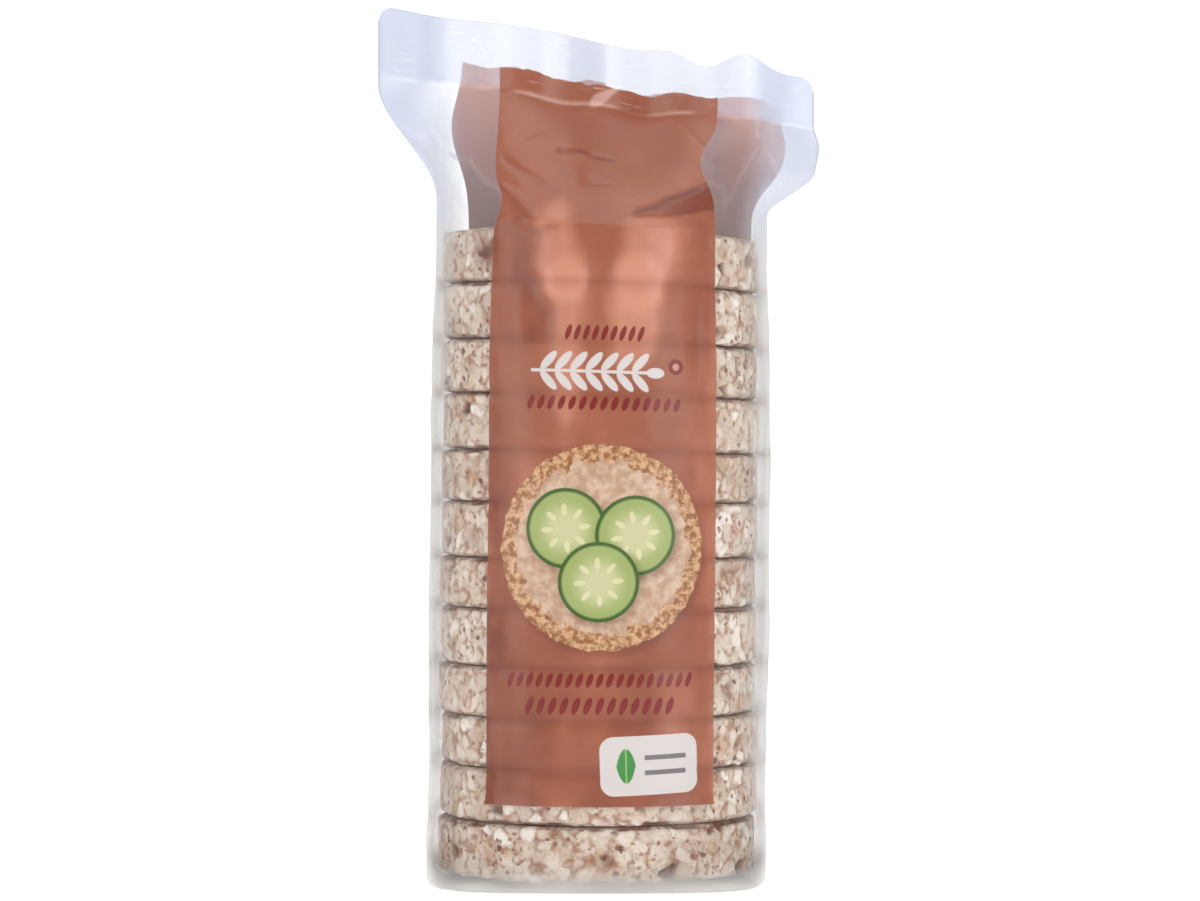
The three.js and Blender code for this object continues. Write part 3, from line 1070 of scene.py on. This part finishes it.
class Finish:
    """One material and the nodes that make it."""

    def __init__(self, name):
        self.material = bpy.data.materials.new(name)
        self.material.use_nodes = True
        self.tree = self.material.node_tree
        self.tree.nodes.clear()

    def add(self, kind, settings=None, inputs=None, output=0):
        node = self.tree.nodes.new("ShaderNode" + kind)
        for name, value in (settings or {}).items():
            if name == "stops":
                self.set_stops(node.color_ramp, value)
            else:
                setattr(node, name, value)
        for key, value in (inputs or {}).items():
            if isinstance(value, Link):
                self.tree.links.new(value.socket, node.inputs[key])
            else:
                node.inputs[key].default_value = value
        return Link(self, node.outputs[output]) if node.outputs else None

    @staticmethod
    def set_stops(ramp, stops):
        while len(ramp.elements) < len(stops):
            ramp.elements.new(1.0)
        for element, (place, tint) in zip(ramp.elements, stops):
            element.position = place
            element.color = tint

    def mix(self, share, first, second):
        """A colour between two others. Inputs 6 and 7 and output 2 are the node's colours."""
        return self.add("Mix", {"data_type": "RGBA"}, {0: share, 6: first, 7: second}, 2)

    def tinted(self, first, second, share=1.0):
        """first multiplied by second."""
        settings = {"data_type": "RGBA", "blend_type": "MULTIPLY"}
        return self.add("Mix", settings, {0: share, 6: first, 7: second}, 2)

    def attribute(self, name):
        return self.add("Attribute", {"attribute_name": name}, output="Fac")

    def place(self):
        return self.add("TexCoord", output="Object")

    def noise(self, size, detail=2.0, roughness=0.5, vector=None, output="Fac"):
        """Noise with bumps about size millimetres across, on the mesh or on a place given in millimetres."""
        scale = 1 / (size * MM) if vector is None else 1 / size
        inputs = {"Vector": vector or self.place(), "Scale": scale, "Detail": detail, "Roughness": roughness}
        return self.add("TexNoise", None, inputs, output)

    def specks(self, size, vector, radius, softness, share):
        """1 inside round specks in this share of the cells of this size, and each cell's lot from 0 to 1."""
        inputs = {"Vector": vector, "Scale": 1 / (size * MM)}
        away = self.add("TexVoronoi", {"feature": "F1"}, inputs, "Distance")
        tint = self.add("TexVoronoi", {"feature": "F1"}, inputs, "Color")
        lot = self.add("SeparateColor", None, {0: tint}, 0)
        return away.below(radius, softness) * lot.below(share, 0.02), lot

    def distance(self, place, centre):
        return self.add("VectorMath", {"operation": "DISTANCE"}, {0: place, 1: (*centre, 0)}, "Value")

    def show(self, shader):
        self.add("OutputMaterial", None, {"Surface": shader})
        return self.material


def colour(red, green, blue):
    """A display colour, 0 to 255, as the linear one that shaders take."""
    return tuple((c / 255) ** 2.2 for c in (red, green, blue)) + (1.0,)


WHITE = (1, 1, 1, 1)

# The puffed grain's colours, the painted shade that tints it in its bubble walls, creases and depths, with
# the creases browned as well, the painted shade in its pores, and how far the edges of its specks wander
PUFF = {
    "pale": colour(240, 229, 216),
    "toasted": colour(205, 176, 148),
    "white": colour(247, 241, 232),
    "amber": colour(196, 140, 86),
}
SHADE = {
    "bubble walls": colour(240, 226, 208),
    "creases": colour(184, 134, 98),
    "depths": colour(146, 94, 62),
}
BRAN = {
    "dark": colour(124, 68, 42),
    "light": colour(164, 112, 72),
    "husk": colour(104, 50, 38),
    "pore_shade": colour(132, 92, 64),
}
WARP = 2.4

# The film's milkiness round the stack and above it, the painted shade it takes over the gaps between cakes,
# and its gloss with its painted glints
MILK = {"low": colour(212, 210, 207), "high": colour(206, 213, 233), "gap_shade": colour(158, 146, 138)}
MILK_CHANGES = (STACK_TOP - 20, STACK_TOP + 20)
GLINT = {"clear": colour(246, 249, 255), "printed": colour(226, 184, 170)}
HAZE_EDGE_ON = 0.4
FACING_SHINE = 0.03
EDGE_SHINE = 0.6


def puffed_grain():
    """Cream puffed grain with white and toasted puffs, bran flecks and husks, pores painted dark as shade,
    creases browned and painted with shade, and painted shade that deepens with the relief.
    """
    f = Finish("puffed_grain")
    depth = f.attribute("depth")
    grain = f.attribute("grain")
    toast = f.attribute("toast")
    crease = f.attribute("crease")
    bran = f.attribute("bran")
    bent = f.add("VectorMath", {"operation": "MULTIPLY_ADD"},
                 {0: f.noise(1.7, 3.0, 0.65, output="Color"), 1: (WARP * MM,) * 3, 2: f.place()})
    mottle = f.noise(1.5, 4.0, 0.65)
    broad = f.noise(7.0)
    lot = (grain * 7.0) % 1.0
    warmth = toast * 0.5 + (lot - 0.5) * 0.55 + (mottle - 0.5) * 0.9 + (broad - 0.5) * 1.3
    base = f.mix(warmth.between(-0.15, 0.95), PUFF["pale"], PUFF["toasted"])
    white = grain.maths("COMPARE", PROUD["lot"], PROUD["share"] / 2)
    base = f.mix(white * 0.85, base, PUFF["white"])
    amber, _ = f.specks(5.2, bent, 0.34, 0.3, 0.10 + toast * 0.16)
    base = f.mix(amber * 0.62, base, PUFF["amber"])
    bubbles = {"Vector": bent, "Scale": 1 / (2.2 * MM)}
    walls = f.add("TexVoronoi", {"feature": "DISTANCE_TO_EDGE"}, bubbles, "Distance")
    base = f.tinted(base, f.mix(walls.below(0.03, 0.07), WHITE, SHADE["bubble walls"]))
    # the creases are browned and painted with shade, in patches
    browned_and_shaded = crease * f.noise(3.2).between(0.40, 0.6)
    base = f.tinted(base, f.mix(browned_and_shaded * 0.85, WHITE, SHADE["creases"]))
    # painted shade, darker with the relief's depth and on the faces hidden between cakes
    base = f.tinted(base, f.mix((depth * 1.25).clamped(), WHITE, SHADE["depths"]))
    patch = f.noise(12.0).between(0.40, 0.60)
    flecks, fleck_lot = f.specks(2.0, bent, 0.34, 0.12, bran * (0.10 + patch * 0.36))
    base = f.mix(flecks * 0.85, base, f.mix(fleck_lot.between(0.05, 0.3), BRAN["dark"], BRAN["light"]))
    husks, _ = f.specks(5.0, bent, 0.20, 0.07, bran * (0.09 + patch * 0.3))
    base = f.mix(husks * 0.92, base, BRAN["husk"])
    # the pores are painted dark as shade in tiny holes, with a small dent in the bump
    pores, _ = f.specks(1.15, f.place(), 0.22, 0.1, 0.24)
    base = f.mix(pores * 0.6, base, BRAN["pore_shade"])
    height = f.noise(0.55, 3.0, 0.6) - pores * 0.8 + mottle * 0.6
    bump = f.add("Bump", None, {"Strength": 0.6, "Distance": 0.3 * MM, "Height": height}, "Normal")
    matte = {"Base Color": base, "Roughness": 0.8, "Normal": bump, "Specular IOR Level": 0.25}
    return f.show(f.add("BsdfPrincipled", None, matte))


# The print on the film, in millimetres round the flat film from the front's middle and along it from
# the base
PRINT_LOW = 25
PRINT_EDGE = 0.2
PRINT_IN_SEAL = 0.33
FRONT_BAND = {"at": BAND_AT, "half": BAND_HALF}
BACK_BAND = {"at": -5, "half": 52}
# The ink from shaded to lit, picked by the tone, which is much of it painted light and shade
INK = ((0.0, colour(120, 58, 42)), (0.45, colour(160, 94, 70)), (1.0, colour(208, 140, 116)))
# The painted shade of the gaps between cakes, seen through the ink
INK_SHADE_OVER_GAPS = colour(206, 190, 186)
INK_COVER = 0.92
DARK_RED = colour(122, 28, 30)
DARK_BROWN = colour(96, 50, 42)
RING_HOLE = colour(196, 140, 122)
PAPER_WHITE = colour(216, 208, 206)

# Rows of small slanted grains: how far round and along, how many, and each grain's pitch and height
GRAIN_ROWS = (
    {"around": 1.2, "along": 162.0, "count": 9, "pitch": 2.6, "tall": 4.4},
    {"around": 1.2, "along": 141.6, "count": 15, "pitch": 3.04, "tall": 4.0},
    {"around": 0.6, "along": 61.6, "count": 19, "pitch": 2.9, "tall": 4.2},
    {"around": 0.6, "along": 54.2, "count": 13, "pitch": 3.38, "tall": 5.0},
)
EAR = {"centre": (-1.7, 150.8), "half": 15.4, "pitch": 4.4, "grain": (1.55, 2.7), "off": 2.9, "stem": 0.45}
RING = {"centre": (22, 152.8), "radius": 2.3, "hole": 1.035}
PICTURE = {"centre": (1.0, 100.0), "radius": 29.8, "spread": 25.2}
SLICES = (
    {"centre": (-9.5, 105.5), "turn": 0.3},
    {"centre": (10.5, 103.5), "turn": 1.0},
    {"centre": (0.0, 90.0), "turn": 1.9},
)
SLICE_RADIUS = 11.6
SEEDS = {"count": 8, "at": 5.4, "half_wide": 0.8, "half_long": 1.7}
BADGE = {"centre": (15.3, 37.1), "half": (14.5, 8.6), "corner": 4.0, "tilt": 0.04}
LEAF = {"off": 7.0, "half_wide": 3.4, "half_tall": 5.6, "pointed": 3.0, "vein": 0.22}
BADGE_RULES = {"off": 4.6, "half_long": 6.2, "apart": 2.2, "half_thick": 0.7}
BACK_RULES = {"off": 27.5, "half_wide": 14.5, "middle": 92, "half_tall": 50, "pitch": 4.0,
              "half_thick": 0.42}


def grain_row(around, along, row):
    """1 inside a printed row of slanted grains."""
    up = along - row["along"]
    across = around - row["around"]
    cell = (across + row["pitch"] / 2 - up * 0.3) % row["pitch"] - row["pitch"] / 2
    wide = cell / (0.31 * row["pitch"])
    tall = up / (row["tall"] / 2)
    in_row = abs(across - up * 0.3).below(row["count"] * row["pitch"] / 2, 0.1)
    return (wide * wide + tall * tall).below(1.0, 0.3) * in_row


def printed_ear(around, along):
    """1 inside a printed ear of grain that lies along its stem."""
    centre_x, centre_y = EAR["centre"]
    across = around - centre_x
    up = abs(along - centre_y)
    wide, tall = EAR["grain"]
    lean = (up - EAR["off"]) * 0.7
    cell = ((across + EAR["pitch"] / 2 - lean) % EAR["pitch"] - EAR["pitch"] / 2) / wide
    level = (up - EAR["off"]) / tall
    grains_in = (cell * cell + level * level).below(1.0, 0.25) * abs(across - lean).below(EAR["half"], 0.1)
    tip = (across - EAR["half"] - wide * 1.4) / (wide * 1.7)
    end_grain = (tip * tip + (up / wide) * (up / wide)).below(1.0, 0.25)
    grains_in = grains_in.larger(end_grain)
    stem = up.below(EAR["stem"], 0.2) * abs(across + 1.5).below(EAR["half"] + 1.5, 0.2)
    return grains_in.larger(stem)


def green_slice(f, flat, around, along, spot, picture):
    """A round green slice with a dark rim and pale seeds, over the picture so far."""
    centre_x, centre_y = spot["centre"]
    away = f.distance(flat, spot["centre"])
    angle = (along - centre_y).maths("ARCTAN2", around - centre_x) + spot["turn"]
    step = 2 * math.pi / SEEDS["count"]
    seed_x = (angle % step - step / 2) * away / SEEDS["half_wide"]
    seed_y = (away - SEEDS["at"]) / SEEDS["half_long"]
    flesh = f.mix(away.between(2.5, 9.5), colour(204, 202, 156), colour(158, 172, 104))
    flesh = f.mix((seed_x * seed_x + seed_y * seed_y).below(1.0, 0.5) * 0.75, flesh, colour(224, 220, 176))
    flesh = f.mix(away.between(SLICE_RADIUS - 1.5, SLICE_RADIUS - 0.7), flesh, colour(66, 96, 44))
    shadow = f.distance(flat, (centre_x + 0.7, centre_y - 1.1)).below(SLICE_RADIUS + 0.6, 2.4) * 0.4
    picture = f.tinted(picture, f.mix(shadow, WHITE, colour(120, 84, 60)))
    return f.mix(away.below(SLICE_RADIUS, 0.25), picture, flesh)


def printed_picture(f, flat, around, along, paint):
    """A round speckled cake with a pale spread and green slices on it, over the paint so far."""
    wobble = f.noise(4.0, 3.0, 0.55, vector=flat) - 0.5
    away = f.distance(flat, PICTURE["centre"])
    shadow = f.distance(flat, (PICTURE["centre"][0] + 0.8, PICTURE["centre"][1] - 1.4))
    paint = f.tinted(paint, f.mix(shadow.below(PICTURE["radius"], 3.0) * 0.3, WHITE, colour(110, 60, 48)))
    crumb = f.noise(1.9, 3.0, 0.6, vector=flat).between(0.38, 0.62)
    crust = f.mix(crumb, colour(150, 98, 62), colour(214, 170, 130))
    picture = f.mix(f.noise(1.1, 2.0, 0.5, vector=flat).below(0.36, 0.1) * 0.7, crust, colour(122, 72, 46))
    thick = f.noise(3.4, 3.0, 0.6, vector=flat).between(0.36, 0.66)
    spread = f.mix(thick, colour(186, 148, 122), colour(214, 184, 160))
    spread_edge = (away + wobble * 9.0).below(PICTURE["spread"], 0.7)
    picture = f.mix(spread_edge, picture, spread)
    for spot in SLICES:
        picture = green_slice(f, flat, around, along, spot, picture)
    return f.mix((away + wobble * 2.4).below(PICTURE["radius"], 0.35), paint, picture)


def printed_badge(f, around, along, paint):
    """A plain white badge with a leaf and two grey rules, over the paint so far."""
    centre_x, centre_y = BADGE["centre"]
    across = around - centre_x + (along - centre_y) * BADGE["tilt"]
    up = along - centre_y - (around - centre_x) * BADGE["tilt"]
    half_x, half_y = BADGE["half"]
    corner = BADGE["corner"]
    over_x = (abs(across) - (half_x - corner)).larger(0.0)
    over_y = (abs(up) - (half_y - corner)).larger(0.0)
    plate = (over_x * over_x + over_y * over_y).maths("SQRT").below(corner, 0.2)
    leaf_x = (across + LEAF["off"]) / LEAF["half_wide"]
    leaf_y = (abs(up) + leaf_x * leaf_x * LEAF["pointed"]) / LEAF["half_tall"]
    leaf = (leaf_x * leaf_x + leaf_y * leaf_y).below(0.8, 0.12)
    vein = abs(across + LEAF["off"]).below(LEAF["vein"], 0.15)
    rules = abs(abs(up) - BADGE_RULES["apart"]).below(BADGE_RULES["half_thick"], PRINT_EDGE)
    rules = rules * abs(across - BADGE_RULES["off"]).below(BADGE_RULES["half_long"], PRINT_EDGE)
    badge = f.mix(leaf, PAPER_WHITE, f.mix(vein, colour(70, 140, 70), colour(150, 190, 120)))
    badge = f.mix(rules, badge, colour(120, 116, 118))
    return f.mix(plate, paint, badge)


def back_rules(behind, along):
    """Two plain blocks of thin rules on the back, clear of its seam."""
    blocks = abs(abs(behind) - BACK_RULES["off"]).below(BACK_RULES["half_wide"], PRINT_EDGE)
    blocks = blocks * abs(along - BACK_RULES["middle"]).below(BACK_RULES["half_tall"], PRINT_EDGE)
    pitch = BACK_RULES["pitch"]
    lines = abs(along % pitch - pitch / 2).below(BACK_RULES["half_thick"], 0.15)
    return blocks * lines


def inked_places(f, flat, around, along, behind):
    """1 inside the front band and inside the back one, whose upper ends are torn a little by the seal."""
    torn = (f.noise(9.0, vector=flat) - 0.5) * 5.0
    top = STACK_TOP + ROOF_LENGTH + PRINT_IN_SEAL * SEAL_HEIGHT
    below_top = (along + torn * along.between(top - 12, top)).below(top, PRINT_EDGE)
    tall = below_top * (PRINT_LOW - along).below(0, PRINT_EDGE)
    front = abs(around - FRONT_BAND["at"]).below(FRONT_BAND["half"], PRINT_EDGE) * tall
    back = abs(behind - BACK_BAND["at"]).below(BACK_BAND["half"], PRINT_EDGE) * tall
    return front, back


def printed_ink(f, flat, around, along, rules):
    """The bands' colour, lit and shaded in paint by the tone and painted darker over the gaps between cakes,
    with all that is printed on them.
    """
    tone = f.attribute("tone") + (f.noise(3.2, 3.0, 0.6) - 0.5) * 0.12
    ink = f.add("ValToRGB", {"stops": INK}, {"Fac": tone})
    # painted shade over the gaps between cakes
    ink = f.tinted(ink, f.mix(f.attribute("gap") * 0.5, WHITE, INK_SHADE_OVER_GAPS))
    ink = f.mix(rules * 0.5, ink, DARK_BROWN)
    for row in GRAIN_ROWS:
        ink = f.mix(grain_row(around, along, row) * INK_COVER, ink, DARK_RED)
    ring = f.distance(flat, RING["centre"])
    ink = f.mix(ring.below(RING["radius"], 0.2) * INK_COVER, ink, DARK_RED)
    ink = f.mix(ring.below(RING["hole"], 0.2), ink, RING_HOLE)
    ink = f.mix(printed_ear(around, along) * 0.94, ink, PAPER_WHITE)
    ink = printed_picture(f, flat, around, along, ink)
    return printed_badge(f, around, along, ink)


def film_glints(f, flat, along):
    """Where the film shines white: its creases and the fine streaks pressed into the seal."""
    foot = STACK_TOP + ROOF_LENGTH
    streaked = f.add("VectorMath", {"operation": "MULTIPLY"}, {0: flat, 1: (0.1, 1.0, 1.0)})
    streaks = f.noise(0.9, 3.0, 0.6, vector=streaked).between(0.56, 0.74)
    streaks = streaks * f.noise(16, vector=flat).between(0.46, 0.6)
    return (f.attribute("glint") + streaks * along.between(foot, foot + 2) * 0.7).clamped()


def printed_film():
    """Thin clear film with a see-through brown band printed on its front and a wider one on its back."""
    f = Finish("printed_film")
    map_place = f.add("UVMap", {"uv_map": "OFBake"})
    around = f.add("SeparateXYZ", None, {0: map_place}, "X") * FILM_ROUND - FILM_ROUND / 2
    along = f.add("SeparateXYZ", None, {0: map_place}, "Y") * FILM_LENGTH - BASE_LENGTH
    flat = f.add("CombineXYZ", None, {"X": around, "Y": along})
    behind = (around + FILM_ROUND) % FILM_ROUND - FILM_ROUND / 2
    front, back = inked_places(f, flat, around, along, behind)
    inked = front.larger(back)
    ink = printed_ink(f, flat, around, along, back_rules(behind, along) * back)
    glint = film_glints(f, flat, along)
    facing = f.add("LayerWeight", None, {"Blend": 0.5}, "Facing")
    haze = f.attribute("haze") + facing**2.0 * HAZE_EDGE_ON
    milk = f.mix(along.between(*MILK_CHANGES), MILK["low"], MILK["high"])
    # painted shade over the gaps between cakes
    milk = f.mix(f.attribute("gap") * 0.8, milk, MILK["gap_shade"])
    paint = f.mix(inked, milk, ink)
    paint = f.mix(glint, paint, f.mix(inked, GLINT["clear"], GLINT["printed"]))
    solid = haze.larger(inked * INK_COVER).larger(glint * 0.8).smaller(1.0)
    uneven = {"Strength": 0.18, "Distance": 0.5 * MM, "Height": f.noise(6.0, 3.0, 0.55)}
    bump = f.add("Bump", None, uneven, "Normal")
    satin = {"Base Color": paint, "Roughness": 0.5, "Normal": bump, "Specular IOR Level": 0.1}
    body = f.add("BsdfPrincipled", None, satin)
    film = f.add("MixShader", None, {0: solid, 1: f.add("BsdfTransparent"), 2: body})
    gloss = f.add("BsdfGlossy", None, {"Roughness": 0.24, "Normal": bump})
    shine = facing**5.0 * (EDGE_SHINE - FACING_SHINE) + FACING_SHINE
    return f.show(f.add("MixShader", None, {0: shine, 1: film, 2: gloss}))


def backdrop_finish():
    f = Finish("backdrop")
    shader = f.add("BsdfPrincipled", None, {"Base Color": (0.9, 0.9, 0.9, 1), "Roughness": 0.9,
                                            "Emission Color": (1, 1, 1, 1), "Emission Strength": 0.4})
    return f.show(shader)


# The stage

def backdrop():
    """A pale floor that curves up into a pale wall."""
    front, back, half, bend, height = -9000, 900, 6000, 500, 2500
    turns = np.linspace(0, math.pi / 2, 17)
    line = [(front, 0), (0, 0)]
    line += [(back + bend * math.sin(t), bend * (1 - math.cos(t))) for t in turns]
    line.append((back + bend, height))
    points = [(x, y, z - 0.15) for y, z in line for x in (-half, half)]
    faces = [(2 * i, 2 * i + 1, 2 * i + 3, 2 * i + 2) for i in range(len(line) - 1)]
    piece = add_mesh("backdrop", np.array(points, float), faces, backdrop_finish())


def softbox(name, place, target, width, height, power):
    light = bpy.data.lights.new(name, "AREA")
    light.shape = "RECTANGLE"
    light.size = width
    light.size_y = height
    light.energy = power
    lamp = bpy.data.objects.new(name, light)
    bpy.context.scene.collection.objects.link(lamp)
    lamp.location = place
    aim = Vector(target) - Vector(place)
    lamp.rotation_euler = aim.to_track_quat("-Z", "Y").to_euler()


# Each softbox: where it stands, what it is aimed at, its width and height, and its power in watts
SOFTBOXES = {
    "right_softbox": ((0.9, -1.0, 0.55), (0, 0, 0.13), 0.7, 1.1, 6.6),
    "left_softbox": ((-1.0, -0.8, 0.45), (0, 0, 0.13), 0.6, 1.1, 4.7),
    "top_softbox": ((0.0, -0.1, 1.3), (0, 0, 0.1), 0.9, 0.9, 4.5),
}
ROOM_LIGHT = 0.43


def lights():
    world = bpy.data.worlds.new("studio")
    world.use_nodes = True
    world.node_tree.nodes["Background"].inputs["Color"].default_value = WHITE
    world.node_tree.nodes["Background"].inputs["Strength"].default_value = ROOM_LIGHT
    bpy.context.scene.world = world
    for name, about in SOFTBOXES.items():
        softbox(name, *about)


def camera():
    data = bpy.data.cameras.new("camera")
    data.sensor_width = SENSOR_WIDTH
    data.lens = SENSOR_WIDTH * CAMERA_DISTANCE / (PHOTO_WIDTH * PIXEL)
    data.clip_end = 20
    eye = bpy.data.objects.new("camera", data)
    bpy.context.scene.collection.objects.link(eye)
    eye.location = (0, -CAMERA_DISTANCE * MM, CAMERA_HEIGHT * MM)
    eye.rotation_euler = (math.pi / 2, 0, 0)
    bpy.context.scene.camera = eye
    bpy.context.scene.view_settings.view_transform = "Standard"


def build():
    grain = puffed_grain()
    cakes = [rice_cake(index, grain) for index in range(len(CAKES))]
    film = printed_film()
    sheet = film_grid()
    bag = film_bag(*sheet, film)
    seam = back_seam(*sheet, film)
    end = folded_end(film)
    for piece, slot in [(cake, "puffed_grain") for cake in cakes] + [
            (bag, "clear_film"), (seam, "printed_film"), (end, "clear_film")]:
        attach(piece, "root")
    for piece in (bag, *cakes):
        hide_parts("sealed_bag")
    backdrop()
    lights()
    camera()


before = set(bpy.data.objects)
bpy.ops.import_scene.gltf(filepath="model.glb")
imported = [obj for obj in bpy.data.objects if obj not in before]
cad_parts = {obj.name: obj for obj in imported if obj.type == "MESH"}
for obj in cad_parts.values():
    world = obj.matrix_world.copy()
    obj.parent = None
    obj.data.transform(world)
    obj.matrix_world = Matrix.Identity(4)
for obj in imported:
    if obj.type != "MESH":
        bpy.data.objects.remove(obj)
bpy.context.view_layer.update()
build()
